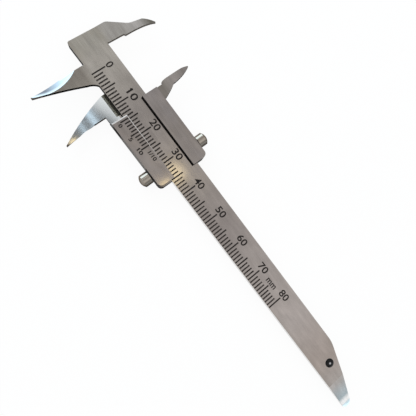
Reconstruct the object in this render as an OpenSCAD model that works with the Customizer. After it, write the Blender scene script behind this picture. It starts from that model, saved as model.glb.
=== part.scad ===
// Dental vernier caliper for 0 to 80 mm, with outside jaws on the right and
// crossing knife-edge inside jaws on the left of the beam.
// X runs along the beam from the head to the tail, Y across it and Z out of its front face.
// The origin lies on the beam's back face, on its centre line, at the zero line of the scale.

/* [Beam] */
// Width of the beam across the scale
beam_w = 8.8; // [7:0.1:12]
// Thickness of the beam
beam_t = 2.4; // [2.2:0.1:3.5]
// Length of the head above the zero line
head_l = 10.2; // [8:0.1:14]
// Distance by which the head's left corner stands ahead of its right side
head_slant = 0.3; // [0:0.05:0.6]
// Radius of the head's left corner
head_r = 0.6; // [0.2:0.1:1.5]
// Distance that the head's end runs on past the beam's right edge
head_run = 3; // [2:0.1:4]
// Distance from the zero line to the end of the tail
tail_l = 118.9; // [114:0.1:140]
// Length of the tapering tail, from its shoulder to its end
taper_l = 19; // [16:0.1:22]
// Length over which the tail's shoulder is rounded
shoulder_l = 1.4; // [0.5:0.1:3]
// Radius of the rounded end of the tail
tip_r = 1.45; // [1:0.05:2]
// Length of the thinned end of the tail
tip_bevel_l = 9.3; // [5:0.1:11]
// Thickness left where the tail's nose begins
tip_t = 1.1; // [0.8:0.1:1.6]
// Length of the tail's sloping nose
nose_l = 1.7; // [1:0.1:2.5]
// Thickness left at the end of the nose
nose_t = 0.4; // [0.2:0.05:0.6]

/* [Stop pin] */
// Distance from the stop pin to the end of the tail
pin_rear = 14.6; // [12.5:0.1:15]
// Diameter of the stop pin
pin_d = 2.6; // [1.4:0.1:2.8]
// Height of the pin's dome over the front face
pin_dome = 0.4; // [0.2:0.05:0.8]
// Length of the pin that stands out of the beam's back
pin_stop = 0.6; // [0.4:0.05:0.8]

/* [Outside jaws] */
// Reach of the outside jaws from the edge of the beam
outside_reach = 14.6; // [12:0.1:18]
// Distance above the zero line of the line on which the outside tips meet
outside_edge = 3.1; // [2.8:0.05:4]
// Reach at which the outside measuring edges begin
outside_start = 5.5; // [5:0.1:7]
// Depth of the relief at the root of the outside jaws
outside_relief = 0.45; // [0.3:0.05:0.8]
// Width of the outside blades at their beaks
blade_w = 2.8; // [2.4:0.1:3.2]
// Thickness of the outside blades
blade_t = 0.85; // [0.7:0.05:1.1]
// Length of the tapering beaks at the ends of the outside blades
beak_l = 2.7; // [2:0.1:4]
// Depth by which the fixed outside beak hooks towards the tail
beak_hook = 1.25; // [0.6:0.05:1.5]
// Depth by which the moving outside tip hooks towards the tail
tip_hook = 0.55; // [0.2:0.05:0.6]
// Distance by which the fixed outside blade widens from its beak to the head's slope
blade_flare = 0.7; // [0.2:0.1:1]
// Length of the slope that thins the head behind the fixed outside jaw
thinning_l = 1.2; // [0.8:0.1:2]
// Width of the moving outside jaw where it leaves the slide
neck_w = 4.7; // [4.2:0.1:5.5]

/* [Inside jaws] */
// Reach of the inside jaws from the edge of the beam
inside_reach = 16.2; // [13:0.1:18]
// Distance of the fixed inside edge above the zero line
inside_edge = 3.6; // [3:0.05:4.5]
// Distance by which the inside edges lean towards the tail at their tips
inside_lean = 0.6; // [0:0.05:0.9]
// Reach at which the inside measuring edges begin
inside_start = 7.8; // [6:0.1:9]
// Depth of the relief at the root of the inside jaws
inside_relief = 0.3; // [0.1:0.05:0.6]
// Distance below the zero line at which the fixed inside jaw's root ends
inside_root = 3.55; // [3:0.05:4.5]
// Width of the curve where the fixed inside jaw's root leaves the beam
inside_fillet = 1.8; // [1:0.1:2.4]
// Width of the moving inside jaw where it leaves the beam
inside_neck = 5.9; // [5:0.1:6.5]
// Bulge of the moving inside jaw's back from a straight line
inside_bulge = 0.6; // [0:0.1:1]
// Width left at the points of the inside jaws
point_w = 0.2; // [0.1:0.05:0.4]
// Width of the hollow-ground flank at its middle
hollow_w = 2.3; // [1.5:0.1:3]
// Radius of the hollow in the flank
hollow_r = 25; // [20:1:40]

/* [Slide] */
// Reading at which the caliper stands open
reading = 14.8; // [0:0.1:80]
// Distance from the vernier's zero line to the front end of the slide
slide_lead = 2.3; // [1.5:0.1:2.6]
// Length of the slide
slide_l = 22.65; // [22:0.05:28]
// Width of the right rail beside the beam
rail_w = 3.35; // [3:0.05:4.5]
// Distance by which the left rail is wider than the right one
left_step = 0.35; // [0:0.05:0.6]
// Thickness of the slide's floor behind the beam
floor_t = 0.85; // [0.8:0.05:1.5]
// Thickness of the back plate
back_t = 0.6; // [0.5:0.05:1]
// Radius of the slide's rear corners
slide_r = 1.3; // [0.5:0.1:1.6]
// Width of the relief bevel along the inside jaw's root
root_bevel = 1.2; // [0.6:0.1:1.6]

/* [Front plates] */
// Distance from the front end of the slide to the vernier plate
vernier_lead = 1.35; // [0.8:0.05:1.6]
// Distance from the vernier plate to the rear end of the slide
vernier_inset = 0.3; // [0:0.05:0.6]
// Overlap of the vernier plate on the beam
vernier_lap = 1.05; // [0.6:0.05:1.5]
// Thickness of the vernier plate at its outer edge
vernier_t = 0.9; // [0.8:0.05:1.4]
// Thickness of the vernier plate at its inner edge
vernier_edge_t = 0.3; // [0.2:0.05:0.5]
// Distance by which the retaining plate stands ahead of the slide's front end
retainer_lead = 0.35; // [0:0.05:0.5]
// Overlap of the retaining plate on the beam
retainer_lap = 1.75; // [0.6:0.05:1.8]
// Distance by which the retaining plate's inner edge leans back from its foot
retainer_lean = 0.4; // [0.05:0.05:0.5]
// Thickness of the retaining plate
retainer_t = 1.0; // [0.8:0.05:1.6]

/* [Brake buttons] */
// Distance of the buttons' axis from the rear end of the slide
button_rear = 4.55; // [4.1:0.05:6]
// Height of the buttons' axis over the beam's back face
button_z = 0.9; // [0.6:0.05:1.1]
// Diameter of the button heads
button_d = 3.7; // [3:0.1:4]
// Length of the button heads
button_l = 3.05; // [2:0.05:4]
// Height of the dome on the button heads
button_dome = 0.8; // [0.1:0.05:0.9]
// Travel of the buttons
button_travel = 0.3; // [0.2:0.05:0.7]
// Diameter of the button stems
stem_d = 1.2; // [1:0.05:1.3]
// Diameter of the riveted spigot at the end of the stems
spigot_d = 0.8; // [0.5:0.05:0.9]
// Diameter of the spring cup in the button heads
cup_d = 2.7; // [2.5:0.05:2.8]
// Depth of the spring cup
cup_depth = 1.8; // [1:0.05:2]

/* [Brake clamps and springs] */
// Thickness of the clamp strip
clamp_t = 0.5; // [0.4:0.05:0.55]
// Width of the clamp strip
clamp_w = 2.0; // [1.5:0.1:2.2]
// Distance of a clamp's strip from the buttons' axis
clamp_offset = 2.4; // [2.3:0.05:2.6]
// Wire diameter of the button springs
wire_d = 0.25; // [0.2:0.05:0.3]
// Mean diameter of the button springs
spring_d = 1.95; // [1.9:0.05:2]
// Turns of the button springs
spring_turns = 2.5; // [2:0.25:3]

/* [Screws] */
// Diameter of the plate screws
screw_d = 1.4; // [1:0.1:1.6]
// Diameter of the countersunk screw heads
screw_head_d = 2.6; // [2:0.1:2.9]
// Length of thread in the front plates
screw_bite = 0.4; // [0.2:0.05:0.45]
// Width of the screwdriver slots
screw_slot = 0.3; // [0.2:0.05:0.4]

/* [Fits] */
// Clearance between the beam and the slide
slide_gap = 0.05; // [0.02:0.01:0.08]
// Clearance between the crossing inside jaws
cross_gap = 0.05; // [0.03:0.01:0.1]
// Clearance between the fixed inside jaw and the end of its pocket
pocket_gap = 0.3; // [0.2:0.05:0.5]
// Radial clearance of the button stems
stem_gap = 0.03; // [0.02:0.01:0.06]
// Clearance between the brake shoes and the beam's edges
shoe_gap = 0.02; // [0.02:0.01:0.05]
// Clearance round the clamps in their window
clamp_gap = 0.25; // [0.2:0.05:0.3]
// Clearance of the springs at their seats
seat_gap = 0.02; // [0.01:0.01:0.05]
// Radial clearance of the screws in the slide and the back plate
screw_gap = 0.05; // [0.03:0.01:0.1]

/* [Hidden] */
$fn = 64;
// Allowance by which cuts run past the faces that they open
past = 1;
// Length over which the reliefs run out to the measuring edges
notch = 0.4;
// Length by which the moving inside jaw outreaches the fixed one
inside_lead = 0.3;
// Overlap of solids that are joined in one piece
weld = 0.1;
// Radius of the front plates' inner corners
inner_r = 0.05;
// Height of the upright foot of the retaining plate's inner edge
foot_h = 0.1;
// Gap between the clamp strips and the beam's back face or the back plate
strip_gap = 0.1;
steel = "#9b948b";
polished = "#c3c6c8";
dark_steel = "#2b2a2a";
spring_steel = "#8a8d90";
edge_y = beam_w / 2;
shoulder_x = tail_l - taper_l;
pin_x = tail_l - pin_rear;
bore_y = edge_y + slide_gap;
side_y = bore_y + rail_w;
left_y = side_y + left_step;
split_z = beam_t / 2;
seat_z = beam_t + slide_gap;
floor_z = -slide_gap - floor_t;
back_z = floor_z - back_t;
slide_front = reading - slide_lead;
slide_rear = slide_front + slide_l;
button_x = slide_rear - button_rear;
// Face of the moving inside jaw, just behind the fixed one
cross_z = split_z - cross_gap;
// The fixed inside jaw's root, seen from the slide when the caliper is shut, ends here
pocket_x = reading + inside_root + pocket_gap;
// The clamps work in a window through the slide's floor and rails
lug_outer = edge_y + shoe_gap + button_travel + 2 * clamp_t;
window_y = lug_outer + shoe_gap;
window_front = button_x - clamp_offset - clamp_w / 2 - clamp_gap;
window_rear = button_x + clamp_offset + clamp_w / 2 + clamp_gap;
clamp_z = floor_z + strip_gap;
// Screws in pairs along the middle of each rail
screw_y = bore_y + rail_w / 2;
vernier_screw_x = [pocket_x + screw_head_d / 2 + pocket_gap, window_front - screw_head_d / 2];
retainer_screw_x = [slide_front + screw_head_d, window_front - screw_head_d / 2];

// Points of a quadratic curve from a to c, drawn towards b
function curve(a, b, c, n = 10) = [for (i = [0:n]) let (t = i / n)
    (1 - t) * (1 - t) * a + 2 * t * (1 - t) * b + t * t * c];
// Points of an arc round c, from angle u to angle w
function arc(c, r, u, w, n = 10) = [for (i = [0:n]) let (t = u + (w - u) * i / n)
    c + r * [cos(t), sin(t)]];

// Plate standing on height z, from its outline
module plate(outline, z, t) {
    translate([0, 0, z])
        linear_extrude(t)
            polygon(outline);
}

// Ball whose surface hollows a flank between a knife edge and the far face of a jaw
module hollow(edge, face, y) {
    run = face - edge;
    chord = norm(run);
    rise = sqrt(hollow_r * hollow_r - chord * chord / 4);
    middle = (edge + face) / 2;
    centre = middle + rise / chord * [-sign(run[0]) * abs(run[1]), sign(run[1]) * abs(run[0])];
    translate([centre[0], y, centre[1]])
        sphere(hollow_r, $fn = 128);
}

// Bar of the beam with its squared head and tapering tail
function tail_slope() = atan2(edge_y - (2 * tip_r - edge_y), tail_l - tip_r - shoulder_x);
function bar_outline() = let (
        tip = [tail_l - tip_r, tip_r - edge_y],
        corner = [head_r - head_l - head_slant, head_r - edge_y])
    concat(
        arc(corner, head_r, 180, 270, 6),
        arc(tip, tip_r, -90, 90 - tail_slope(), 16),
        curve([shoulder_x + shoulder_l, edge_y - shoulder_l * tan(tail_slope())],
            [shoulder_x, edge_y], [shoulder_x - shoulder_l, edge_y], 6),
        [[-head_l, edge_y]]);

// Fixed outside jaw, from inside the head out to its hooked beak
function fixed_outside_outline() = let (
        tip = [-outside_edge, edge_y + outside_reach],
        start = [-outside_edge - beak_hook, edge_y + outside_start],
        root_x = start[0] - outside_relief,
        hump = [-outside_edge - blade_w, tip[1] - beak_l],
        knee = [hump[0] - blade_flare, start[1] + beak_l],
        corner = [-head_l, edge_y + head_run])
    concat(
        [[-head_l, 0], [root_x - notch / 2, 0], [root_x - notch / 2, edge_y], [root_x, start[1] - notch]],
        curve(start, [start[0], hump[1]], tip, 8),
        curve(tip - [point_w, 0], [hump[0] + blade_flare, tip[1] - beak_l / 2], hump, 8),
        curve(knee + (hump - knee) / 5, knee, knee + (corner - knee) / 8, 5),
        curve(corner + (knee - corner) / 8, corner, corner - [0, head_r], 5));

// Wedge that thins the head from behind, up to the blade of the fixed outside jaw
module blade_relief() {
    blade_z = beam_t - blade_t;
    far_y = edge_y + outside_reach + past;
    root_x = -outside_edge - beak_hook - outside_relief;
    rotate([90, 0, 90])
        translate([0, 0, -head_l - past])
            linear_extrude(head_l + past + root_x - notch / 2)
                polygon([[edge_y - thinning_l, -past], [edge_y - thinning_l, 0], [edge_y, blade_z],
                    [far_y, blade_z], [far_y, -past]]);
    translate([root_x - past, edge_y, -past])
        cube([head_l, far_y - edge_y, blade_z + past]);
}

// Fixed inside jaw in the front half of the beam's thickness
function inside_middle() = -edge_y - (inside_start + inside_reach) / 2 + hollow_w;
function fixed_inside_outline() = let (
        start = [-inside_edge, -edge_y - inside_start],
        tip = [inside_lean - inside_edge, -edge_y - inside_reach],
        root_x = inside_relief - inside_edge,
        neck_x = inside_root - inside_fillet,
        fillet = [neck_x, -edge_y - 3 / 2 * inside_fillet])
    concat(
        [[inside_root, 0], [root_x, 0], [root_x, start[1] + notch], start, tip],
        curve(tip + [point_w, 0], (tip + fillet) / 2 - [inside_relief, 0], fillet, 12),
        curve(fillet, [neck_x + inside_fillet / 4, -edge_y - inside_fillet / 2], [inside_root, -edge_y], 6));

module fixed_inside_jaw() {
    difference() {
        plate(fixed_inside_outline(), split_z, beam_t - split_z);
        hollow([-inside_edge, split_z], [hollow_w - inside_edge, beam_t], inside_middle());
    }
}

module beam() {
    color(steel)
    difference() {
        union() {
            plate(bar_outline(), 0, beam_t);
            difference() {
                plate(fixed_outside_outline(), 0, beam_t);
                blade_relief();
            }
            fixed_inside_jaw();
        }
        // Thinned end of the tail
        rotate([90, 0, 0])
            translate([0, 0, -edge_y - past])
                linear_extrude(beam_w + 2 * past)
                    polygon([[tail_l - tip_bevel_l, beam_t], [tail_l - nose_l, tip_t], [tail_l, nose_t],
                        [tail_l + past, nose_t], [tail_l + past, beam_t + past],
                        [tail_l - tip_bevel_l, beam_t + past]]);
        translate([pin_x, 0, -past])
            cylinder(d = pin_d, h = beam_t + 2 * past);
    }
}

// Pressed pin: its dome shows on the front and its foot stops the slide behind the beam
module stop_pin() {
    ball_r = (pin_d * pin_d / 4 + pin_dome * pin_dome) / (2 * pin_dome);
    color(dark_steel)
    translate([pin_x, 0, 0])
    union() {
        translate([0, 0, -pin_stop])
            cylinder(d = pin_d, h = pin_stop + beam_t);
        intersection() {
            translate([0, 0, beam_t - weld])
                cylinder(d = pin_d, h = pin_dome + past);
            translate([0, 0, beam_t + pin_dome - ball_r])
                sphere(ball_r, $fn = 96);
        }
    }
}

// Plan of the slide, with round corners at the rear
function slide_outline(front, rear, low, high, low_r, high_r) = concat(
    [[front, high], [front, low]],
    arc([rear - low_r, low + low_r], low_r, -90, 0, 8),
    arc([rear - high_r, high - high_r], high_r, 0, 90, 8));

// Moving inside jaw, whose face slides just behind the fixed one
function moving_inside_outline() = let (
        start = [reading - inside_edge, -edge_y - inside_start],
        tip = [start[0] + inside_lean, -edge_y - inside_reach - inside_lead],
        root_x = start[0] - inside_relief,
        root = [start[0] - inside_neck, -bore_y],
        point = tip - [point_w, 0])
    concat(
        [[slide_front + past, -bore_y]],
        curve(root, (root + point) / 2 - [2 * inside_bulge, 0], point, 12),
        [tip, start, [root_x, start[1] + notch], [root_x, -left_y], [slide_front + past, -left_y]]);

module moving_inside_jaw() {
    edge_x = reading - inside_edge;
    bevel_x = edge_x - inside_neck - past;
    difference() {
        plate(moving_inside_outline(), 0, cross_z);
        // The grinding stops short of the root, which keeps its whole wall
        difference() {
            hollow([edge_x, cross_z], [edge_x - hollow_w, 0], inside_middle());
            translate([edge_x - 2 * hollow_w, notch - edge_y - inside_start, -past])
                cube([4 * hollow_w, inside_start + edge_y, cross_z + 2 * past]);
        }
        // Relief bevel that falls towards the beam's edge
        rotate([90, 0, 90])
            translate([0, 0, bevel_x])
                linear_extrude(slide_front + vernier_lead - bevel_x)
                    polygon([[-bore_y - root_bevel, cross_z], [-bore_y + past, cross_z - root_bevel],
                        [-bore_y + past, cross_z + past], [-bore_y - root_bevel, cross_z + past]]);
    }
}

// Moving outside jaw, level with the fixed jaw's blade
function moving_outside_outline() = let (
        tip = [reading - outside_edge, edge_y + outside_reach],
        edge_x = tip[0] - tip_hook,
        start_y = edge_y + outside_start,
        neck = [edge_x + neck_w, side_y + notch],
        back_x = edge_x + blade_w - tip_hook,
        bend = [back_x + point_w, start_y + beak_l])
    concat(
        [[neck[0] + past, side_y - past]],
        curve(neck, bend + [past, -beak_l / 2], bend, 8),
        curve(bend, [back_x, tip[1] - beak_l], tip + [point_w, 0], 8),
        curve(tip, [edge_x, tip[1] - beak_l / 2], [edge_x, tip[1] - beak_l], 6),
        curve([edge_x, bend[1]], [edge_x, start_y + notch], [edge_x + outside_relief, start_y], 6),
        [[edge_x + 2 * outside_relief, start_y], [edge_x + 2 * outside_relief, side_y],
            [slide_front, side_y - past]]);

module slide_body() {
    color(steel)
    difference() {
        union() {
            plate(slide_outline(slide_front, slide_rear, -left_y, side_y, slide_r, slide_r),
                floor_z, seat_z - floor_z);
            moving_inside_jaw();
            plate(moving_outside_outline(), seat_z - slide_gap - cross_gap - blade_t, blade_t);
        }
        // Channel for the beam
        translate([slide_front - past, -bore_y, -slide_gap])
            cube([slide_l + 2 * past, 2 * bore_y, seat_z + past]);
        // Pocket that takes the fixed inside jaw's root when the caliper shuts
        translate([slide_front - past, -left_y - past, cross_z])
            cube([pocket_x - slide_front + past, left_y - bore_y + past + slide_gap, seat_z]);
        // Window for the clamps
        translate([window_front, -window_y, floor_z - past])
            cube([window_rear - window_front, 2 * window_y, seat_z - floor_z + 2 * past]);
        // Guide bore for both button stems
        translate([button_x, side_y + past, button_z])
            rotate([90, 0, 0])
                cylinder(d = stem_d + 2 * stem_gap, h = side_y + left_y + 2 * past);
        screw_holes(vernier_screw_x, -screw_y);
        screw_holes(retainer_screw_x, screw_y);
    }
}

// Clearance holes for a pair of screws
module screw_holes(xs, y) {
    for (x = xs)
        translate([x, y, back_z - past])
            cylinder(d = screw_d + 2 * screw_gap, h = seat_z - back_z + 2 * past);
}

// Countersinks for a pair of screw heads
module countersinks(xs, y) {
    grow = screw_gap + past * (screw_head_d - screw_d) / (2 * back_t);
    for (x = xs)
        translate([x, y, back_z - past])
            cylinder(d1 = screw_head_d + 2 * grow, d2 = screw_d + 2 * screw_gap, h = back_t + past);
}

module back_plate() {
    color(steel)
    difference() {
        plate(slide_outline(slide_front, slide_rear, -left_y, side_y, slide_r, slide_r), back_z, back_t);
        screw_holes(vernier_screw_x, -screw_y);
        screw_holes(retainer_screw_x, screw_y);
        countersinks(vernier_screw_x, -screw_y);
        countersinks(retainer_screw_x, screw_y);
    }
}

// Vernier plate, which thins towards the scale
module vernier_plate() {
    front = slide_front + vernier_lead;
    rear = slide_rear - vernier_inset;
    inner = vernier_lap - edge_y;
    color(steel)
    difference() {
        intersection() {
            plate(slide_outline(front, rear, -left_y, inner, slide_r, inner_r), seat_z, vernier_t);
            rotate([90, 0, 90])
                translate([0, 0, front - past])
                    linear_extrude(rear - front + 2 * past)
                        polygon([[-left_y - past, seat_z - past], [inner + past, seat_z - past],
                            [inner + past, seat_z + vernier_edge_t], [inner, seat_z + vernier_edge_t],
                            [-left_y, seat_z + vernier_t], [-left_y - past, seat_z + vernier_t]]);
        }
        threads(vernier_screw_x, -screw_y);
    }
}

// Blind threads for a pair of screws, cut from behind
module threads(xs, y) {
    for (x = xs)
        translate([x, y, seat_z - past])
            cylinder(d = screw_d, h = screw_bite + past);
}

// Retaining plate, whose inner edge leans back over an upright foot
module retaining_plate() {
    front = slide_front - retainer_lead;
    inner = edge_y - retainer_lap;
    lean = retainer_lean / (retainer_t - foot_h);
    color(steel)
    difference() {
        intersection() {
            plate(slide_outline(front, slide_rear, inner, side_y, inner_r, slide_r), seat_z, retainer_t);
            rotate([90, 0, 90])
                translate([0, 0, front - past])
                    linear_extrude(slide_rear - front + 2 * past)
                        polygon([[inner - lean * (past + foot_h), seat_z - past], [side_y + past, seat_z - past],
                            [side_y + past, seat_z + retainer_t + past],
                            [inner + retainer_lean + lean * past, seat_z + retainer_t + past]]);
        }
        threads(retainer_screw_x, screw_y);
    }
}

// Slotted countersunk screws, put in from behind
module plate_screws(xs, y) {
    color(polished)
    for (x = xs)
        translate([x, y, back_z])
        difference() {
            union() {
                cylinder(d1 = screw_head_d, d2 = screw_d, h = back_t);
                cylinder(d = screw_d, h = seat_z - back_z + screw_bite);
            }
            translate([-screw_head_d, -screw_slot / 2, -past])
                cube([2 * screw_head_d, screw_slot, past + back_t / 2]);
        }
}

module vernier_screws() {
    plate_screws(vernier_screw_x, -screw_y);
}

module retainer_screws() {
    plate_screws(retainer_screw_x, screw_y);
}

// Turned button along +Y, outside a wall: domed head with a spring cup, stem and riveted spigot
module button(wall_y) {
    head_y = wall_y + button_travel;
    end_y = head_y + button_l;
    ball_r = (button_d * button_d / 4 + button_dome * button_dome) / (2 * button_dome);
    spigot_y = lug_outer - clamp_t;
    translate([button_x, 0, button_z])
    rotate([-90, 0, 0])
    union() {
        difference() {
            intersection() {
                translate([0, 0, head_y])
                    cylinder(d = button_d, h = button_l);
                translate([0, 0, end_y - ball_r])
                    sphere(ball_r, $fn = 128);
            }
            translate([0, 0, head_y - past])
                cylinder(d = cup_d, h = cup_depth + past);
        }
        translate([0, 0, lug_outer])
            cylinder(d = stem_d, h = head_y + cup_depth + weld - lug_outer);
        translate([0, 0, spigot_y])
            cylinder(d = spigot_d, h = lug_outer - spigot_y + weld);
    }
}

module right_button() {
    color(polished)
        button(side_y);
}

module left_button() {
    color(polished)
        mirror([0, 1, 0])
            button(left_y);
}

// Bent strip on the +Y button: its lug takes the spigot, its strip passes behind the beam
// and its shoe bears on the beam's far edge. Side is +1 for a strip towards the rear.
module clamp(side) {
    strip_x = button_x + side * clamp_offset - clamp_w / 2;
    lug_x = side > 0 ? button_x - clamp_w / 2 : strip_x;
    shoe_y = edge_y + shoe_gap;
    top_z = beam_t - clamp_t;
    difference() {
        union() {
            translate([strip_x, -shoe_y - clamp_t, clamp_z])
                cube([clamp_w, shoe_y + clamp_t + lug_outer, clamp_t]);
            translate([lug_x, lug_outer - clamp_t, clamp_z])
                cube([clamp_offset + clamp_w, clamp_t, top_z - clamp_z]);
            translate([strip_x, -shoe_y - clamp_t, clamp_z])
                cube([clamp_w, clamp_t, top_z - clamp_z]);
        }
        translate([button_x, 0, button_z])
            rotate([-90, 0, 0])
                cylinder(d = spigot_d, h = lug_outer + past);
    }
}

module right_clamp() {
    color(spring_steel)
        clamp(1);
}

module left_clamp() {
    color(spring_steel)
        mirror([0, 1, 0])
            clamp(-1);
}

// Coil spring round the stem, between the slide's side and the floor of the cup
spring_l = button_travel + cup_depth - 2 * seat_gap;
spring_pitch = (spring_l - wire_d) / spring_turns;
function spring_point(k, n) = [spring_d / 2 * cos(360 * k / n), spring_d / 2 * sin(360 * k / n),
    wire_d / 2 + spring_pitch * k / n];
spring_rings = 16;
spring_sides = 8;
spring_steps = round(spring_turns * spring_rings);
spring_gap = min([for (k = [0:spring_steps - spring_rings])
    norm(spring_point(k + spring_rings, spring_rings) - spring_point(k, spring_rings))]) - wire_d;
echo(spring_gap = spring_gap);

module spring(wall_y) {
    points = [for (k = [0:spring_steps], j = [0:spring_sides - 1])
        let (c = spring_point(k, spring_rings), out = [c[0], c[1], 0] * 2 / spring_d,
            turn = 360 * j / spring_sides)
        c + wire_d / 2 * (cos(turn) * out + [0, 0, sin(turn)])];
    sides = [for (k = [0:spring_steps - 1], j = [0:spring_sides - 1], half = [0, 1])
        let (a = k * spring_sides, b = a + spring_sides, next = (j + 1) % spring_sides)
        half == 0 ? [a + j, a + next, b + next] : [a + j, b + next, b + j]];
    first = [for (j = [1:spring_sides - 2]) [0, j + 1, j]];
    last = [for (j = [1:spring_sides - 2]) let (a = spring_steps * spring_sides) [a, a + j, a + j + 1]];
    translate([button_x, wall_y + seat_gap, button_z])
        rotate([-90, 0, 0])
            polyhedron(points, concat(sides, first, last));
}

module right_spring() {
    color(spring_steel)
        spring(side_y);
}

module left_spring() {
    color(spring_steel)
        mirror([0, 1, 0])
            spring(left_y);
}

beam();
stop_pin();
slide_body();
back_plate();
vernier_plate();
retaining_plate();
vernier_screws();
retainer_screws();
left_button();
right_button();
left_clamp();
right_clamp();
left_spring();
right_spring();
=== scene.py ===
"""A flat steel vernier caliper for dental work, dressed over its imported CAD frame."""

import math

import bpy
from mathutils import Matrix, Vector


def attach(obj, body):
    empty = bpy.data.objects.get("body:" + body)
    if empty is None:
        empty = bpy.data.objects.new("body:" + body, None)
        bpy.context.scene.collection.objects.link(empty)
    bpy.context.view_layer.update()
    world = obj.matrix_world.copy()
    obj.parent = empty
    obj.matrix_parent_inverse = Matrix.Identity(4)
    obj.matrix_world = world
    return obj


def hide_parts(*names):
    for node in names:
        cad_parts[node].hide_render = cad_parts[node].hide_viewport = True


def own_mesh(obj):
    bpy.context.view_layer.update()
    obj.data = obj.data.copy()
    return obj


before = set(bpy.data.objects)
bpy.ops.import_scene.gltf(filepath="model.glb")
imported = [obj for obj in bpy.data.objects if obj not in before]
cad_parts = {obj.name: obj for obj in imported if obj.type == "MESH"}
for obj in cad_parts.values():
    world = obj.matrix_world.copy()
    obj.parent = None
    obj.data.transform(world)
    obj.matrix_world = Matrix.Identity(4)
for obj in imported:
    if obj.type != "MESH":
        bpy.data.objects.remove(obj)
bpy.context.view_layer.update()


# Beam: one flat blank of stainless steel with its head, both fixed jaws and the tapering tail.
# It is ground flat and satin brushed along its length. The inside jaw's hollow flank, the beam's
# own edges and the nose of the tail are polished, and every corner is broken by hand.
mm = 0.001
beam_half_w = 4.4 * mm
beam_front = 2.4 * mm
edge_reach = 4.5 * mm
thin_y = -17.8 * mm
point_y = -20.2 * mm
taper_start = 109.5 * mm
nose_start = 116.5 * mm
satin_tint = (0.29, 0.26, 0.245)
flank_painted_reflection_tint = (0.24, 0.275, 0.305)


def pick(piece):
    """Leaves only this piece selected and active."""
    bpy.ops.object.select_all(action="DESELECT")
    piece.select_set(True)
    bpy.context.view_layer.objects.active = piece


def grain(steel, cells, turn=0.0, detail=4.0):
    """Noise on the piece's own place, turned in the plane of the beam.

    Cells says how many of its cells a metre holds along each axis.
    """
    nodes, links = steel.node_tree.nodes, steel.node_tree.links
    place = nodes.new("ShaderNodeTexCoord")
    lay = nodes.new("ShaderNodeMapping")
    lay.inputs["Rotation"].default_value = (0, 0, math.radians(turn))
    lay.inputs["Scale"].default_value = cells
    noise = nodes.new("ShaderNodeTexNoise")
    noise.inputs["Scale"].default_value = 1.0
    noise.inputs["Detail"].default_value = detail
    links.new(place.outputs["Object"], lay.inputs["Vector"])
    links.new(lay.outputs["Vector"], noise.inputs["Vector"])
    return noise.outputs["Fac"]


def spread(steel, value, low, high, start=0.3, end=0.7):
    """Maps a noise value from its usual range to the range from low to high."""
    ramp = steel.node_tree.nodes.new("ShaderNodeMapRange")
    ramp.inputs["From Min"].default_value = start
    ramp.inputs["From Max"].default_value = end
    ramp.inputs["To Min"].default_value = low
    ramp.inputs["To Max"].default_value = high
    steel.node_tree.links.new(value, ramp.inputs["Value"])
    return ramp.outputs["Result"]


def blended(steel, amount, first, second, how="MIX"):
    """Mixes two colours, given as values or as outputs of other nodes."""
    nodes, links = steel.node_tree.nodes, steel.node_tree.links
    mix = nodes.new("ShaderNodeMix")
    mix.data_type = "RGBA"
    mix.blend_type = how
    for socket, value in (("Factor_Float", amount), ("A_Color", first), ("B_Color", second)):
        target = next(s for s in mix.inputs if s.identifier == socket)
        if isinstance(value, bpy.types.NodeSocket):
            links.new(value, target)
        elif isinstance(value, tuple):
            target.default_value = (*value, 1)
        else:
            target.default_value = value
    return next(s for s in mix.outputs if s.identifier == "Result_Color")


def bumped(steel, height, depth, strength):
    """Lifts the surface by a height map of the given depth."""
    bump = steel.node_tree.nodes.new("ShaderNodeBump")
    bump.inputs["Distance"].default_value = depth
    bump.inputs["Strength"].default_value = strength
    steel.node_tree.links.new(height, bump.inputs["Height"])
    return bump.outputs["Normal"]


def drifted(steel, base, far_tint, axis, start, end):
    """Lets a colour change to another along one axis of the piece."""
    nodes, links = steel.node_tree.nodes, steel.node_tree.links
    place = nodes.new("ShaderNodeTexCoord")
    split = nodes.new("ShaderNodeSeparateXYZ")
    links.new(place.outputs["Object"], split.inputs["Vector"])
    share = spread(steel, split.outputs[axis], 0.0, 1.0, start, end)
    return blended(steel, share, base, far_tint)


def brushed_steel(name, tint, rough, mottle=0.05, brush=0.06, turn=0.0, drifts=(), rim=0.5,
        gloss=()):
    """Satin stainless steel: fine brush lines, short streaks and soft blotches.

    Rim is its shine at glancing angles. Drifts change its tint, and gloss its roughness.
    """
    steel = bpy.data.materials.new(name)
    steel.use_nodes = True
    nodes, links = steel.node_tree.nodes, steel.node_tree.links
    shader = nodes["Principled BSDF"]
    shader.inputs["Metallic"].default_value = 1.0
    shader.inputs["Specular Tint"].default_value = (rim, rim, rim, 1)
    lines = grain(steel, (300, 5200, 5200), turn)
    streaks = grain(steel, (110, 1100, 1100), turn + 2, 2.0)
    blotches = grain(steel, (240, 420, 420), turn, 2.0)
    cloud = grain(steel, (140, 260, 260), turn, 2.0)
    warm = tuple(c * k for c, k in zip(tint, (1.03, 1.01, 0.97)))
    base = blended(steel, spread(steel, cloud, 0.0, 1.0, 0.35, 0.65), tint, warm)
    for drift in drifts:
        base = drifted(steel, base, *drift)
    for pattern, depth in ((blotches, 1.5 * mottle), (streaks, mottle), (lines, 0.6 * mottle)):
        darker, lighter = (1 - depth,) * 3, (1 + depth,) * 3
        shade = blended(steel, spread(steel, pattern, 0, 1), darker, lighter)
        base = blended(steel, 1.0, base, shade, "MULTIPLY")
    links.new(base, shader.inputs["Base Color"])
    shine = spread(steel, streaks, rough - 0.03, rough + 0.04)
    for drift in gloss:
        shine = drifted(steel, shine, *drift)
    links.new(shine, shader.inputs["Roughness"])
    links.new(bumped(steel, lines, 0.004 * mm, brush), shader.inputs["Normal"])
    return steel


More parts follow.
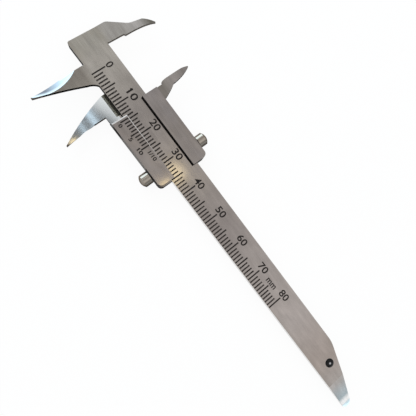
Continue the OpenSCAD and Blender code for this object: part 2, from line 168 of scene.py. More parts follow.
def polished_steel(name, tint, rough, turn=0.0, drifts=(), rim=1.0, rim_drift=None):
    """Polished stainless steel with the faint lines of its last wheel.

    Rim is its shine at glancing angles. Drifts change its tint, and the rim's drift that shine.
    """
    steel = bpy.data.materials.new(name)
    steel.use_nodes = True
    shader = steel.node_tree.nodes["Principled BSDF"]
    links = steel.node_tree.links
    shader.inputs["Metallic"].default_value = 1.0
    shader.inputs["Specular Tint"].default_value = (rim, rim, rim, 1)
    lines = grain(steel, (160, 4200, 4200), turn)
    haze = grain(steel, (260, 260, 260), 0.0, 3.0)
    shade = blended(steel, spread(steel, lines, 0, 1), (0.97, 0.97, 0.975), (1.03, 1.03, 1.03))
    base = tint
    for drift in drifts:
        base = drifted(steel, base, *drift)
    if rim_drift:
        links.new(drifted(steel, (rim, rim, rim), *rim_drift), shader.inputs["Specular Tint"])
    links.new(blended(steel, 1.0, base, shade, "MULTIPLY"), shader.inputs["Base Color"])
    links.new(spread(steel, haze, 0.8 * rough, 1.3 * rough), shader.inputs["Roughness"])
    links.new(bumped(steel, lines, 0.0004 * mm, 0.03), shader.inputs["Normal"])
    return steel


def ground_copy(node, name, finishes, edge_break, parted=()):
    """Copies a CAD node, merges its triangles into whole faces and breaks its sharp edges.

    Its faces are parted along planes, each given by a point and a normal, for a change of finish.
    The broken edges take the last finish.
    """
    piece = bpy.data.objects.new(name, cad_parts[node].data.copy())
    bpy.context.scene.collection.objects.link(piece)
    piece.data.materials.clear()
    for finish in finishes:
        piece.data.materials.append(finish)
    pick(piece)
    bpy.ops.object.mode_set(mode="EDIT")
    bpy.ops.mesh.select_all(action="SELECT")
    bpy.ops.mesh.customdata_custom_splitnormals_clear()
    bpy.ops.mesh.remove_doubles(threshold=0.002 * mm)
    bpy.ops.mesh.dissolve_limited(angle_limit=math.radians(0.3))
    for point, normal in parted:
        bpy.ops.mesh.select_all(action="SELECT")
        bpy.ops.mesh.bisect(plane_co=point, plane_no=normal)
    bpy.ops.object.mode_set(mode="OBJECT")
    bpy.ops.object.shade_smooth_by_angle(angle=math.radians(22))
    broken = piece.modifiers.new("broken_edges", "BEVEL")
    broken.width = edge_break
    broken.segments = 2
    broken.limit_method = "ANGLE"
    broken.angle_limit = math.radians(50)
    broken.material = len(finishes) - 1
    bpy.ops.object.modifier_apply(modifier=broken.name)
    level = piece.modifiers.new("level_faces", "WEIGHTED_NORMAL")
    level.keep_sharp = True
    bpy.ops.object.modifier_apply(modifier=level.name)
    return piece


def refinish(piece, finish, chosen):
    """Gives the faces chosen by their middle and normal another of the piece's finishes.

    A normal's z is near 0 on a wall, near 1 on a flat front face and between them on a slope.
    """
    index = piece.data.materials.find(finish.name)
    for face in piece.data.polygons:
        if chosen(face.center, face.normal):
            face.material_index = index


def upright(n, lean=0.2):
    """Tells a wall by its normal."""
    return abs(n.z) < lean


# Painted light and shade: the tint gets lighter and darker in bands along the beam, darker towards
# the inside jaw, lighter over the outside jaw and darker at its point.
beam_satin_painted_light = brushed_steel("beam_satin_painted_light", (0.31, 0.292, 0.262), 0.25, drifts=[
    ((0.345, 0.32, 0.29), "X", -7 * mm, -3 * mm),
    ((0.22, 0.198, 0.186), "X", -2 * mm, 14 * mm),
    (satin_tint, "X", 15 * mm, 24 * mm),
    ((0.262, 0.233, 0.22), "X", 41 * mm, 53 * mm),
    (satin_tint, "X", 57 * mm, 64 * mm),
    ((0.31, 0.278, 0.262), "X", 76 * mm, 84 * mm),
    ((0.275, 0.238, 0.217), "X", 88 * mm, 100 * mm),
    ((0.305, 0.277, 0.26), "X", 103 * mm, 109 * mm),
    ((0.205, 0.185, 0.163), "Y", -3.5 * mm, -6 * mm),
    ((0.335, 0.318, 0.297), "Y", 4 * mm, 6 * mm),
    ((0.43, 0.41, 0.395), "Y", 10 * mm, 14 * mm),
    ((0.165, 0.155, 0.13), "Y", 14.5 * mm, 18 * mm)],
    gloss=[
    ((0.12, 0.12, 0.12), "X", 28 * mm, 31 * mm),
    ((0.25, 0.25, 0.25), "X", 37 * mm, 41 * mm)])
# Painted shade and reflection: the walls are near black, without shine at glancing angles, up to
# 16 mm and bright beyond 35 mm.
beam_walls_painted_light = polished_steel("beam_walls_painted_light", (0.045, 0.043, 0.04), 0.2,
    drifts=[((0.64, 0.63, 0.62), "X", 16 * mm, 35 * mm)],
    rim=0.04, rim_drift=((1, 1, 1), "X", 16 * mm, 35 * mm))
edge_polish = polished_steel("edge_polish", (0.38, 0.37, 0.36), 0.2)
# Painted shade: a darker steel for the walls, with little shine at glancing angles.
jaw_walls_painted_shade = brushed_steel("jaw_walls_painted_shade", (0.16, 0.15, 0.14), 0.42, rim=0.1)
# Painted reflection: the hollow flank is bluish, lighter at its top and darkening towards the
# jaw's point.
flank_polish_painted_reflection = polished_steel("flank_polish_painted_reflection", flank_painted_reflection_tint, 0.14, turn=80, drifts=[
    ((0.07, 0.07, 0.079), "Y", -11 * mm, -16.5 * mm),
    ((0.27, 0.29, 0.3), "Z", 1.85 * mm, 2.25 * mm)])
# Painted reflection and highlight: the tail turns bluish towards the nose and white just before
# it.
tail_satin_painted_reflection = brushed_steel("tail_satin_painted_reflection", (0.355, 0.34, 0.335), 0.3, mottle=0.07, brush=0.1, turn=4,
    drifts=[
    ((0.42, 0.49, 0.52), "X", 110.5 * mm, 115 * mm),
    ((1.0, 1.0, 1.0), "X", 115.1 * mm, 116.4 * mm)])
# Painted highlight: the nose is a bluish white.
nose_painted_highlight = polished_steel("nose_painted_highlight", (0.76, 0.91, 0.97), 0.2)
bright_edge = polished_steel("bright_edge", (0.34, 0.32, 0.3), 0.3)

beam_steel = ground_copy("beam", "beam_steel",
    [beam_satin_painted_light, beam_walls_painted_light, jaw_walls_painted_shade, flank_polish_painted_reflection, tail_satin_painted_reflection, nose_painted_highlight, edge_polish,
        bright_edge],
    edge_break=0.07 * mm, parted=[((0, thin_y, 0), (0, 1, 0))])
refinish(beam_steel, jaw_walls_painted_shade, lambda c, n: upright(n))
refinish(beam_steel, beam_walls_painted_light, lambda c, n: upright(n) and thin_y < c.y < 0
    and (n.x > 0 or n.y < -0.5))
refinish(beam_steel, flank_polish_painted_reflection, lambda c, n: c.y < -beam_half_w and 0.5 < n.z < 0.97
    and n.x < -0.2)
refinish(beam_steel, tail_satin_painted_reflection, lambda c, n: c.x > taper_start and 0.97 < n.z < 0.995)
refinish(beam_steel, nose_painted_highlight, lambda c, n: c.x > nose_start and 0.85 < n.z < 0.97)
refinish(beam_steel, edge_polish, lambda c, n: upright(n) and abs(c.y) < edge_reach
    and n.y > -0.5 and n.x > -0.5)
refinish(beam_steel, edge_polish, lambda c, n: c.y < point_y and n.z < 0.3)
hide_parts("beam")
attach(beam_steel, "beam")


# Millimetre scale: lines and numbers engraved into the beam's front and filled with dark enamel.
# The fives and tens have longer lines, and the tens carry their numbers and the unit.
proud = 0.012 * mm
sunk = 0.02 * mm
stroke = 0.4 * mm
rule_foot = -4.3 * mm
ones_top = -1.42 * mm
fives_top = -0.55 * mm
number_y = 1.3 * mm
number_h = 2.1 * mm
one_digit_w = 1.4 * mm
two_digits_w = 3.2 * mm


def enamel(name):
    """Dark filling of the engraved marks, a little worn."""
    filling = bpy.data.materials.new(name)
    filling.use_nodes = True
    shader = filling.node_tree.nodes["Principled BSDF"]
    links = filling.node_tree.links
    wear = grain(filling, (900, 900, 900), 0.0, 3.0)
    worn = blended(filling, spread(filling, wear, 0, 1),
        (0.008, 0.006, 0.005), (0.022, 0.017, 0.015))
    links.new(worn, shader.inputs["Base Color"])
    links.new(spread(filling, wear, 0.5, 0.7), shader.inputs["Roughness"])
    shader.inputs["Specular IOR Level"].default_value = 0.15
    links.new(bumped(filling, wear, 0.004 * mm, 0.3), shader.inputs["Normal"])
    return filling


def rule_line(name, x, foot, top, filling):
    """One engraved line across the scale, with round ends."""
    bpy.ops.object.select_all(action="DESELECT")
    bpy.ops.mesh.primitive_cube_add(size=1, location=(x, (foot + top) / 2, (proud - sunk) / 2),
        scale=(stroke, abs(top - foot), proud + sunk))
    line = bpy.context.object
    line.name = name
    bpy.ops.object.transform_apply(location=True, rotation=True, scale=True)
    line.data.materials.append(filling)
    bpy.ops.object.mode_set(mode="EDIT")
    bpy.ops.mesh.select_all(action="DESELECT")
    bpy.ops.object.mode_set(mode="OBJECT")
    for edge in line.data.edges:
        ends = [line.data.vertices[v].co for v in edge.vertices]
        edge.select = abs(ends[0].z - ends[1].z) > proud
    bpy.ops.object.mode_set(mode="EDIT")
    bpy.ops.mesh.select_mode(type="EDGE")
    bpy.ops.mesh.bevel(offset=0.1 * mm, segments=2, affect="EDGES")
    bpy.ops.object.mode_set(mode="OBJECT")
    return line


def repeated(line, *runs):
    """Repeats a line: each run is a pitch along the scale and a count."""
    pick(line)
    for pitch, count in runs:
        row = line.modifiers.new("row", "ARRAY")
        row.use_relative_offset = False
        row.use_constant_offset = True
        row.constant_offset_displace = (pitch, 0, 0)
        row.count = count
        bpy.ops.object.modifier_apply(modifier=row.name)
    return line


def engraved(words, x, y, width, height, filling, weight=0.018):
    """Plain letters or numbers of a given size, centred on a place."""
    bpy.ops.object.select_all(action="DESELECT")
    bpy.ops.object.text_add()
    mark = bpy.context.object
    mark.data.body = words
    mark.data.align_x = "CENTER"
    mark.data.extrude = 0.02
    mark.data.offset = weight
    mark.data.resolution_u = 5
    bpy.ops.object.convert(target="MESH")
    mark = bpy.context.object
    bpy.ops.object.mode_set(mode="EDIT")
    bpy.ops.mesh.select_all(action="SELECT")
    bpy.ops.mesh.remove_doubles(threshold=0.0005)
    bpy.ops.mesh.normals_make_consistent(inside=False)
    bpy.ops.object.mode_set(mode="OBJECT")
    bpy.ops.object.origin_set(type="ORIGIN_GEOMETRY", center="BOUNDS")
    size = mark.dimensions
    mark.scale = (width / size.x, height / size.y, (proud + sunk) / size.z)
    mark.location = (x, y, (proud - sunk) / 2)
    bpy.ops.object.transform_apply(location=True, rotation=True, scale=True)
    mark.data.materials.clear()
    mark.data.materials.append(filling)
    return mark


def flag(x, y, length, filling):
    """The short slanting stroke at the head of a figure one, which ends at the given place."""
    bpy.ops.object.select_all(action="DESELECT")
    bpy.ops.mesh.primitive_cube_add(size=1,
        location=(x - 0.33 * length, y - 0.23 * length, (proud - sunk) / 2),
        rotation=(0, 0, math.radians(38)), scale=(length, 0.35 * length, proud + sunk))
    dash = bpy.context.object
    bpy.ops.object.transform_apply(location=True, rotation=True, scale=True)
    dash.data.materials.append(filling)
    return dash


def joined(name, marks):
    """Makes several marks one piece."""
    bpy.ops.object.select_all(action="DESELECT")
    for mark in marks:
        mark.select_set(True)
    bpy.context.view_layer.objects.active = marks[0]
    bpy.ops.object.join()
    marks[0].name = name
    return marks[0]


scale_enamel = enamel("scale_enamel")
marks = [
    repeated(rule_line("millimetres", 1 * mm, rule_foot, ones_top, scale_enamel),
        (1 * mm, 4), (5 * mm, 16)),
    repeated(rule_line("fives", 5 * mm, rule_foot, fives_top, scale_enamel), (10 * mm, 8)),
    repeated(rule_line("tens", 0, rule_foot, 0, scale_enamel), (10 * mm, 9)),
    engraved("0", 0.15 * mm, number_y, one_digit_w, number_h, scale_enamel),
    flag(8.9 * mm, 2.2 * mm, 0.75 * mm, scale_enamel),
    engraved("mm", 75.1 * mm, 0.33 * mm, 3.6 * mm, 1.25 * mm, scale_enamel),
]
for tens in range(10, 90, 10):
    marks.append(engraved(str(tens), (tens + 0.2) * mm, number_y, two_digits_w, number_h,
        scale_enamel))
scale_marks = joined("scale_marks", marks)
pick(scale_marks)
scale_marks.location.z = beam_front
bpy.ops.object.transform_apply(location=True, rotation=True, scale=True)
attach(scale_marks, "beam")


# Stop pin: a short blackened steel pin pressed through the tail. Its glossy dome shows on the
# front with a painted highlight at its crown, and its foot stops the slide behind the beam.
pin_x = 104.3 * mm
pin_crown = 2.8 * mm
highlight_inner = 0.12 * mm
highlight_outer = 0.42 * mm
pin_black = bpy.data.materials.new("pin_black")
pin_black.use_nodes = True
pin_shader = pin_black.node_tree.nodes["Principled BSDF"]
pin_links = pin_black.node_tree.links
pin_place = pin_black.node_tree.nodes.new("ShaderNodeTexCoord")
pin_reach = pin_black.node_tree.nodes.new("ShaderNodeVectorMath")
pin_reach.operation = "DISTANCE"
pin_reach.inputs[1].default_value = (pin_x, 0, pin_crown)
pin_links.new(pin_place.outputs["Object"], pin_reach.inputs[0])
# Painted highlight: a small round spot of bright metal at the crown of the dome.
pin_painted_highlight = spread(pin_black, pin_reach.outputs["Value"], 1.0, 0.0, highlight_inner, highlight_outer)
pin_mottle = grain(pin_black, (2200, 2200, 2200), 0.0, 3.0)
pin_dark = blended(pin_black, spread(pin_black, pin_mottle, 0, 1),
    (0.004, 0.004, 0.0045), (0.009, 0.0085, 0.0085))
pin_tint = blended(pin_black, pin_painted_highlight, pin_dark, (0.38, 0.38, 0.39))
pin_links.new(pin_tint, pin_shader.inputs["Base Color"])
pin_links.new(pin_painted_highlight, pin_shader.inputs["Metallic"])
pin_links.new(spread(pin_black, pin_mottle, 0.16, 0.26), pin_shader.inputs["Roughness"])
pin_shader.inputs["Specular IOR Level"].default_value = 0.12

pin_dome = ground_copy("stop_pin", "pin_dome", [pin_black], edge_break=0.05 * mm)
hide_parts("stop_pin")
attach(pin_dome, "beam")


# Slide: a milled steel channel that runs on the beam, with the moving outside jaw on one side
# and the moving inside jaw on the other. The inside jaw's face is polished. The milled sides
# carry painted shade, apart from a painted reflection on the middle of the left one.
blade_root = -4.5 * mm
blade_rear = 13.9 * mm
relief_rear = 14 * mm
relief_y = -5.0 * mm
relief_top = -4 * mm
outside_root = 7.8 * mm
side_y = -7.5 * mm
side_front = 17.5 * mm
side_rear = 28.5 * mm
side_planes = [((side_front, 0, 0), (1, 0, 0)), ((side_rear, 0, 0), (1, 0, 0))]
slide_satin = brushed_steel("slide_satin", (0.28, 0.255, 0.24), 0.27)
# Painted shade: the walls, and the slopes that look to the left or to the tail, are a dark steel
# with little shine at glancing angles.
slide_walls_painted_shade = brushed_steel("slide_walls_painted_shade", (0.14, 0.13, 0.125), 0.4, rim=0.08)
# Painted reflection: a lighter steel for the middle of the slide's left side.
side_painted_reflection = brushed_steel("side_painted_reflection", (0.24, 0.225, 0.215), 0.4, rim=0.35)
# Painted dark reflection: the polished inside jaw darkens almost to black at its tip.
jaw_polish_painted_reflection = polished_steel("jaw_polish_painted_reflection", (0.28, 0.295, 0.305), 0.07,
    drifts=[((0.05, 0.043, 0.035), "Y", -19.9 * mm, -20.5 * mm)])
# Painted light and shade on the root relief: a light olive on its outer half, darker on its half
# by the beam.
relief_painted_light = brushed_steel("relief_painted_light", (0.85, 0.84, 0.74), 0.45)
relief_painted_shade = brushed_steel("relief_painted_shade", (0.3, 0.285, 0.24), 0.5, rim=0.3)
# Painted shade and light: the outside jaw is dark at its root, lighter further out and a little
# darker at its end.
outside_satin_painted_light = brushed_steel("outside_satin_painted_light", (0.19, 0.176, 0.165), 0.28, brush=0.15, turn=60,
    drifts=[
    ((0.34, 0.31, 0.295), "Y", 9.5 * mm, 13 * mm),
    ((0.255, 0.232, 0.218), "Y", 14 * mm, 16 * mm)])


def dark_side(c, n):
    """Chooses the walls, and the slopes that look to the left or to the tail, for the painted
    shade.
    """
    return upright(n, 0.3) or (n.z < 0.9 and (n.y < -0.3 or n.x > 0.3))


def left_side(c, n):
    """Chooses the middle of the slide's left side, for a painted reflection."""
    return side_front < c.x < side_rear and c.y < side_y and n.y < -0.3 and upright(n, 0.9)


def relief(c, n):
    """Chooses the sloping relief at the root of the moving inside jaw."""
    return c.x < relief_rear and n.y > 0.3 and 0.5 < n.z < 0.9


slide_steel = ground_copy("slide_body", "slide_steel",
    [slide_satin, slide_walls_painted_shade, jaw_polish_painted_reflection, relief_painted_light, relief_painted_shade, outside_satin_painted_light, side_painted_reflection,
        bright_edge],
    edge_break=0.06 * mm, parted=[((0, relief_y, 0), (0, 1, 0)), *side_planes])
refinish(slide_steel, slide_walls_painted_shade, dark_side)
refinish(slide_steel, jaw_polish_painted_reflection, lambda c, n: c.x < blade_rear and c.y < blade_root and n.z > 0.9)
refinish(slide_steel, relief_painted_light, lambda c, n: relief(c, n) and c.y < relief_y)
refinish(slide_steel, relief_painted_shade, lambda c, n: relief(c, n) and relief_y < c.y < relief_top)
refinish(slide_steel, outside_satin_painted_light, lambda c, n: c.y > outside_root and n.z > 0.9)
refinish(slide_steel, side_painted_reflection, left_side)
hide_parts("slide_body")
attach(slide_steel, "slide")


# Brake clamps: two bent strips of spring steel behind the beam. Each hangs on its button's
# spigot and bears with its shoe on the beam's far edge.
clamp_strip = brushed_steel("clamp_strip", (0.42, 0.43, 0.45), 0.28,
    mottle=0.12, brush=0.3, turn=90)
clamp_edge = polished_steel("clamp_edge", (0.5, 0.5, 0.51), 0.25)
for side in ("left", "right"):
    clamp = ground_copy(f"{side}_clamp", f"{side}_clamp_strip", [clamp_strip, clamp_edge],
        edge_break=0.06 * mm)
    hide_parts(f"{side}_clamp")
    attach(clamp, f"{side}_brake")


# Button springs: short coils of bright drawn wire round the stems, between the slide's side and
# the floor of each button's cup.
wire_r = 0.125 * mm
coil_r = 0.975 * mm
coil_turns = 2.5
coil_l = 2.06 * mm
button_x = 30.6 * mm
button_z = 0.9 * mm
coil_wire = polished_steel("coil_wire", (0.45, 0.46, 0.48), 0.2, turn=45)
for side, outward, coil_seat in (("left", -1, 8.17 * mm), ("right", 1, 7.82 * mm)):
    bpy.ops.object.select_all(action="DESELECT")
    bpy.ops.mesh.primitive_circle_add(vertices=12, radius=wire_r, location=(coil_r, 0, wire_r),
        rotation=(math.radians(90), 0, 0))
    coil = bpy.context.object
    coil.name = f"{side}_coil"
    bpy.ops.object.transform_apply(location=True, rotation=True, scale=True)
    wound = coil.modifiers.new("wound", "SCREW")
    wound.axis = "Z"
    wound.angle = math.radians(360 * coil_turns)
    wound.screw_offset = coil_l - 2 * wire_r
    wound.steps = wound.render_steps = 100
    bpy.ops.object.modifier_apply(modifier=wound.name)
    coil.rotation_euler = (math.radians(-90 * outward), 0, 0)
    coil.location = (button_x, outward * coil_seat, button_z)
    bpy.ops.object.transform_apply(location=True, rotation=True, scale=True)
    bpy.ops.object.mode_set(mode="EDIT")
    bpy.ops.mesh.select_all(action="DESELECT")
    bpy.ops.mesh.select_mode(type="EDGE")
    bpy.ops.mesh.select_non_manifold()
    bpy.ops.mesh.edge_face_add()
    bpy.ops.mesh.select_all(action="SELECT")
    bpy.ops.mesh.normals_make_consistent(inside=False)
    bpy.ops.object.mode_set(mode="OBJECT")
    bpy.ops.object.shade_smooth_by_angle(angle=math.radians(50))
    coil.data.materials.append(coil_wire)
    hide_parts(f"{side}_spring")
    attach(coil, "slide")
    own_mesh(coil)


# Brake buttons: turned and polished studs with a domed end, a spring cup inside and a stem that
# runs in the slide. Fine turning lines go round them, and painted shade darkens the tail side.
def turned_steel(name, tint, rough, centre):
    """Polished steel from the lathe: rings round an axis along Y and lines along it."""
    steel = bpy.data.materials.new(name)
    steel.use_nodes = True
    nodes, links = steel.node_tree.nodes, steel.node_tree.links
    shader = nodes["Principled BSDF"]
    shader.inputs["Metallic"].default_value = 1.0
    shader.inputs["Specular Tint"].default_value = (0.2, 0.19, 0.18, 1)
    place = nodes.new("ShaderNodeTexCoord")
    lay = nodes.new("ShaderNodeMapping")
    lay.vector_type = "POINT"
    lay.inputs["Location"].default_value = tuple(-c for c in centre)
    flat = nodes.new("ShaderNodeVectorMath")
    flat.operation = "MULTIPLY"
    flat.inputs[1].default_value = (1, 0, 1)
    reach = nodes.new("ShaderNodeVectorMath")
    reach.operation = "LENGTH"
    split = nodes.new("ShaderNodeSeparateXYZ")
    both = nodes.new("ShaderNodeMath")
    both.operation = "ADD"
    tool = nodes.new("ShaderNodeTexNoise")
    tool.noise_dimensions = "1D"
    tool.inputs["Scale"].default_value = 6000
    tool.inputs["Detail"].default_value = 1
    links.new(place.outputs["Object"], lay.inputs["Vector"])
    links.new(lay.outputs["Vector"], flat.inputs[0])
    links.new(flat.outputs["Vector"], reach.inputs[0])
    links.new(lay.outputs["Vector"], split.inputs["Vector"])
    links.new(reach.outputs["Value"], both.inputs[0])
    links.new(split.outputs["Y"], both.inputs[1])
    links.new(both.outputs["Value"], tool.inputs["W"])
    lines = tool.outputs["Fac"]
    shade = blended(steel, spread(steel, lines, 0, 1), (0.97, 0.97, 0.975), (1.03, 1.03, 1.02))
    # Painted shade: the tint darkens to a third of itself on the side of the stud towards the
    # tail.
    painted_shade_tint = tuple(0.35 * c for c in tint)
    base = drifted(steel, tint, painted_shade_tint, "X", centre[0] + 0.7 * mm, centre[0] + 1.7 * mm)
    links.new(blended(steel, 1.0, base, shade, "MULTIPLY"), shader.inputs["Base Color"])
    links.new(spread(steel, lines, rough - 0.03, rough + 0.04), shader.inputs["Roughness"])
    links.new(bumped(steel, lines, 0.001 * mm, 0.06), shader.inputs["Normal"])
    return steel


button_turned = turned_steel("button_turned", (0.28, 0.25, 0.215), 0.13, (button_x, 0, button_z))
for side in ("left", "right"):
    stud = ground_copy(f"{side}_button", f"{side}_stud", [button_turned], edge_break=0.12 * mm)
    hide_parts(f"{side}_button")
    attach(stud, f"{side}_brake")


# Back plate: a flat sheet of steel that closes the slide behind the brake, brushed along its
# length and held by four countersunk screws.
back_satin = brushed_steel("back_satin", (0.31, 0.285, 0.27), 0.32)
back_cover = ground_copy("back_plate", "back_cover",
    [back_satin, slide_walls_painted_shade, side_painted_reflection, bright_edge],
    edge_break=0.08 * mm, parted=side_planes)
# Painted shade on the walls, and a painted reflection on the middle of the left side.
refinish(back_cover, slide_walls_painted_shade, lambda c, n: upright(n, 0.3))
refinish(back_cover, side_painted_reflection, left_side)
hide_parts("back_plate")
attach(back_cover, "slide")


# Vernier plate: a satin plate that thins towards the scale, with painted highlights along its
# inner edge and front end that fade towards the rear. It is held from behind by two screws.
vernier_front = 13.85 * mm
vernier_inner = -3.35 * mm
front_bright = 0.3 * mm
inner_bright = 0.14 * mm
vernier_satin = brushed_steel("vernier_satin", (0.27, 0.242, 0.231), 0.27,
    gloss=[((0.1, 0.1, 0.1), "X", 31 * mm, 34 * mm)])
# Painted highlight: near white strips along the inner edge and the front end, the inner one fading
# along the plate.
vernier_painted_highlight = polished_steel("vernier_painted_highlight", (0.85, 0.85, 0.85), 0.2,
    drifts=[((0.4, 0.38, 0.36), "X", 18 * mm, 30 * mm)])
vernier_edge = polished_steel("vernier_edge", (0.5, 0.5, 0.5), 0.25)
vernier_cover = ground_copy("vernier_plate", "vernier_cover",
    [vernier_satin, slide_walls_painted_shade, vernier_painted_highlight, side_painted_reflection, vernier_edge],
    edge_break=0.05 * mm,
    parted=[((vernier_front + front_bright, 0, 0), (1, 0, 0)),
        ((0, vernier_inner - inner_bright, 0), (0, 1, 0)), *side_planes])
refinish(vernier_cover, vernier_painted_highlight, lambda c, n: n.z > 0.9
    and (c.x < vernier_front + front_bright or c.y > vernier_inner - inner_bright))
# Painted shade on the walls, and a painted reflection on the middle of the left side.
refinish(vernier_cover, slide_walls_painted_shade, dark_side)
refinish(vernier_cover, side_painted_reflection, left_side)
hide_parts("vernier_plate")
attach(vernier_cover, "slide")


# Vernier scale: eleven engraved lines, nine tenths of a millimetre apart, with their numbers,
# on the plate's sloping face.
vernier_zero = 14.8 * mm
vernier_pitch = 0.9 * mm
vernier_lip = 2.75 * mm
vernier_rise = 0.6 * mm
vernier_run = 4.8 * mm
vernier_slope = math.atan2(vernier_rise, vernier_run)
line_head = -0.2 * mm
tenths_end = -2.0 * mm
halves_end = -2.8 * mm
small_y = -3.27 * mm
small_h = 1.12 * mm
small_w = 0.95 * mm
bold = 0.03
vernier_enamel = enamel("vernier_enamel")
vernier_lines = [
    repeated(rule_line("tenths", vernier_zero + vernier_pitch, line_head, tenths_end,
        vernier_enamel), (vernier_pitch, 4), (5 * vernier_pitch, 2)),
    repeated(rule_line("halves", vernier_zero, line_head, halves_end, vernier_enamel),
        (5 * vernier_pitch, 3)),
    engraved("0", 15.5 * mm, small_y, small_w, small_h, vernier_enamel, bold),
    engraved("5", 19.97 * mm, small_y, small_w, small_h, vernier_enamel, bold),
    engraved("10", 24.0 * mm, small_y, 2 * small_w, small_h, vernier_enamel, bold),
    flag(23.2 * mm, -2.8 * mm, 0.42 * mm, vernier_enamel),
    engraved("1/10", 26.75 * mm, -1.25 * mm, 2.9 * mm, 1.2 * mm, vernier_enamel, bold),
]
vernier_marks = joined("vernier_marks", vernier_lines)
pick(vernier_marks)
vernier_marks.rotation_euler = (-vernier_slope, 0, 0)
vernier_marks.location = (0, vernier_inner, vernier_lip)
bpy.ops.object.transform_apply(location=True, rotation=True, scale=True)
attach(vernier_marks, "slide")


# Retaining plate: a thicker satin plate over the beam's other edge, which keeps the slide on the
# beam. Its edges are broken, its sides carry painted shade, and its leaning inner wall the
# darkest.
retainer_satin = brushed_steel("retainer_satin", (0.24, 0.218, 0.213), 0.27, brush=0.2)
# Painted shade: the leaning inner wall is near black, with almost no shine at glancing angles.
retainer_painted_shade = brushed_steel("retainer_painted_shade", (0.025, 0.023, 0.022), 0.5, rim=0.03)
retainer_edge = polished_steel("retainer_edge", (0.3, 0.29, 0.28), 0.3)
retainer_cover = ground_copy("retaining_plate", "retainer_cover",
    [retainer_satin, slide_walls_painted_shade, retainer_painted_shade, retainer_edge], edge_break=0.09 * mm)
refinish(retainer_cover, slide_walls_painted_shade, dark_side)
refinish(retainer_cover, retainer_painted_shade, lambda c, n: n.y < -0.5)
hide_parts("retaining_plate")
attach(retainer_cover, "slide")


# Plate screws: four small slotted countersunk screws, turned bright, put in from behind through
# the back plate and the slide into the two front plates.
for plate in ("vernier", "retainer"):
    screw_bright = polished_steel(f"{plate}_screw_bright", (0.55, 0.55, 0.56), 0.2)
    screws = ground_copy(f"{plate}_screws", f"{plate}_plate_screws", [screw_bright],
        edge_break=0.04 * mm)
    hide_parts(f"{plate}_screws")
    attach(screws, "slide")


# Floor: a plain white sheet that the caliper lies on. It glows white to the camera and in
# reflections, and its small share of plain paper keeps a soft shadow.
floor_z = -1.51 * mm
floor_size = 6
paper_glow = 0.93
bpy.ops.object.select_all(action="DESELECT")
bpy.ops.mesh.primitive_grid_add(x_subdivisions=4, y_subdivisions=4, size=floor_size,
    location=(0, 0, floor_z))
floor = bpy.context.object
floor.name = "white_floor"
bpy.ops.object.transform_apply(location=True, rotation=True, scale=True)
paper = bpy.data.materials.new("white_paper")
paper.use_nodes = True
paper_nodes, paper_links = paper.node_tree.nodes, paper.node_tree.links
paper_nodes.remove(paper_nodes["Principled BSDF"])
paper_plain = paper_nodes.new("ShaderNodeBsdfDiffuse")
paper_plain.inputs["Color"].default_value = (0.9, 0.9, 0.9, 1)
paper_white = paper_nodes.new("ShaderNodeEmission")
paper_white.inputs["Strength"].default_value = 1.0
paper_seen = paper_nodes.new("ShaderNodeLightPath")
paper_most = paper_seen.outputs["Is Camera Ray"]
for ray in ("Is Glossy Ray", "Is Transmission Ray"):
    either = paper_nodes.new("ShaderNodeMath")
    either.operation = "MAXIMUM"
    paper_links.new(paper_most, either.inputs[0])
    paper_links.new(paper_seen.outputs[ray], either.inputs[1])
    paper_most = either.outputs["Value"]
paper_share = paper_nodes.new("ShaderNodeMath")
paper_share.operation = "MULTIPLY"
paper_share.inputs[1].default_value = paper_glow
paper_links.new(paper_most, paper_share.inputs[0])
paper_mix = paper_nodes.new("ShaderNodeMixShader")
paper_links.new(paper_share.outputs["Value"], paper_mix.inputs["Fac"])
paper_links.new(paper_plain.outputs["BSDF"], paper_mix.inputs[1])
paper_links.new(paper_white.outputs["Emission"], paper_mix.inputs[2])
paper_links.new(paper_mix.outputs["Shader"], paper_nodes["Material Output"].inputs["Surface"])
floor.data.materials.append(paper)


# Studio: a soft sky, a cool window on the head's side, narrow strip lamps whose reflections cross
# the polished inside jaw, and small warm lamps that make golden patches on the steel.
studio = bpy.context.scene.world or bpy.data.worlds.new("studio")
bpy.context.scene.world = studio
studio.use_nodes = True
sky_nodes, sky_links = studio.node_tree.nodes, studio.node_tree.links
sky_way = sky_nodes.new("ShaderNodeTexCoord")
sky_split = sky_nodes.new("ShaderNodeSeparateXYZ")
sky_ramp = sky_nodes.new("ShaderNodeValToRGB")
sky_shades = sky_ramp.color_ramp.elements
sky_shades[0].position, sky_shades[0].color = 0.0, (0.88, 0.96, 1.0, 1)
sky_shades[1].position, sky_shades[1].color = 1.0, (0.72, 0.72, 0.72, 1)
for height, shade in ((0.2, (0.84, 0.92, 0.96)), (0.34, (0.46, 0.46, 0.46)),
        (0.65, (0.52, 0.52, 0.52)), (0.85, (0.86, 0.86, 0.86)), (0.93, (0.84, 0.84, 0.84))):
    sky_shades.new(height).color = (*shade, 1)
sky_along = sky_nodes.new("ShaderNodeMapRange")
sky_along.inputs["From Min"].default_value = -1.0
sky_more = sky_nodes.new("ShaderNodeFloatCurve")
sky_curve = sky_more.mapping.curves[0].points
sky_curve[0].location = (0.0, 0.72)
sky_curve[1].location = (1.0, 0.72)
for along, level in ((0.25, 0.6), (0.335, 0.39), (0.39, 0.45), (0.45, 0.58), (0.55, 0.64),
        (0.68, 0.76), (0.76, 0.79)):
    sky_curve.new(along, level)
sky_more.mapping.update()
sky_level = sky_nodes.new("ShaderNodeMath")
sky_level.operation = "MULTIPLY"
sky_level.inputs[1].default_value = 2.0
sky_light = sky_nodes["Background"]
sky_links.new(sky_way.outputs["Generated"], sky_split.inputs["Vector"])
sky_links.new(sky_split.outputs["Z"], sky_ramp.inputs["Fac"])
sky_links.new(sky_split.outputs["X"], sky_along.inputs["Value"])
sky_links.new(sky_along.outputs["Result"], sky_more.inputs["Value"])
sky_links.new(sky_more.outputs["Value"], sky_level.inputs[0])
sky_links.new(sky_ramp.outputs["Color"], sky_light.inputs["Color"])
sky_links.new(sky_level.outputs["Value"], sky_light.inputs["Strength"])


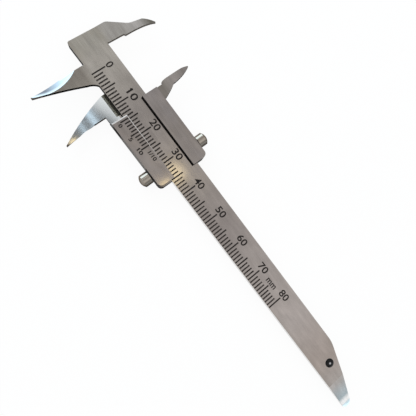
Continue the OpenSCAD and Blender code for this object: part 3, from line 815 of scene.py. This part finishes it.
def soft_lamp(name, place, aim, width, length, radiance, tint, turn=0.0):
    """A rectangular lamp that faces a point, as bright per area as it is told."""
    bpy.ops.object.light_add(type="AREA", location=place)
    lamp = bpy.context.object
    lamp.name = name
    lamp.data.shape = "RECTANGLE"
    lamp.data.size = length
    lamp.data.size_y = width
    lamp.data.energy = radiance * math.pi * width * length
    lamp.data.color = tint
    away = lamp.location - Vector(aim)
    lamp.rotation_euler = away.to_track_quat("Z", "Y").to_euler()
    lamp.rotation_euler.rotate_axis("Z", math.radians(turn))
    return lamp


lamp_height = 0.45
strip_x = -0.136
strip_l = 0.08
cool_white = (0.70, 0.88, 1.0)
warm_white = (1.0, 0.99, 0.96)
warm_glow = (1.0, 0.74, 0.36)
pale_glow = (1.0, 0.86, 0.45)
soft_lamp("window", (-0.74, 0.12, 0.31), (0, 0, 0), 0.6, 0.8, 3.2, cool_white)
for name, y, width, radiance, tint, turn in (
        ("strip_root", 0.071, 0.028, 2.0, warm_white, 22),
        ("strip_soft", 0.053, 0.008, 1.6, warm_white, 22),
        ("strip_faint", 0.045, 0.008, 1.25, warm_white, 22),
        ("strip_wide", 0.025, 0.0075, 2.9, cool_white, 0),
        ("strip_thin", 0.0059, 0.0038, 3.4, cool_white, 0)):
    soft_lamp(name, (strip_x, y, lamp_height), (strip_x, y, 0), width, strip_l,
        radiance, tint, turn)
for name, x, y, size, radiance, tint in (
        ("glow_tip", -0.12, -0.0165, 0.011, 5.5, warm_glow),
        ("glow_beam", -0.003, 0.068, 0.028, 2.9, pale_glow),
        ("glow_plate", 0.001, 0.17, 0.018, 3.0, pale_glow)):
    soft_lamp(name, (x, y, lamp_height), (x, y, 0), size, size, radiance, tint)


# Camera: held over the slide, looking down on the graduated face as in the photograph. A small
# lens shift stands for the crop off its centre.
bpy.ops.object.camera_add(location=(42.875 * mm, -19.591 * mm, 105.423 * mm),
    rotation=(math.radians(4.2055), math.radians(-12.6941), math.radians(52.0956)))
view_camera = bpy.context.object
view_camera.data.sensor_width = 36
view_camera.data.lens = 32.54
view_camera.data.shift_x = -0.05
view_camera.data.shift_y = 0.0038
view_camera.data.clip_start = 0.01
bpy.context.scene.camera = view_camera
bpy.context.scene.view_settings.view_transform = "Standard"
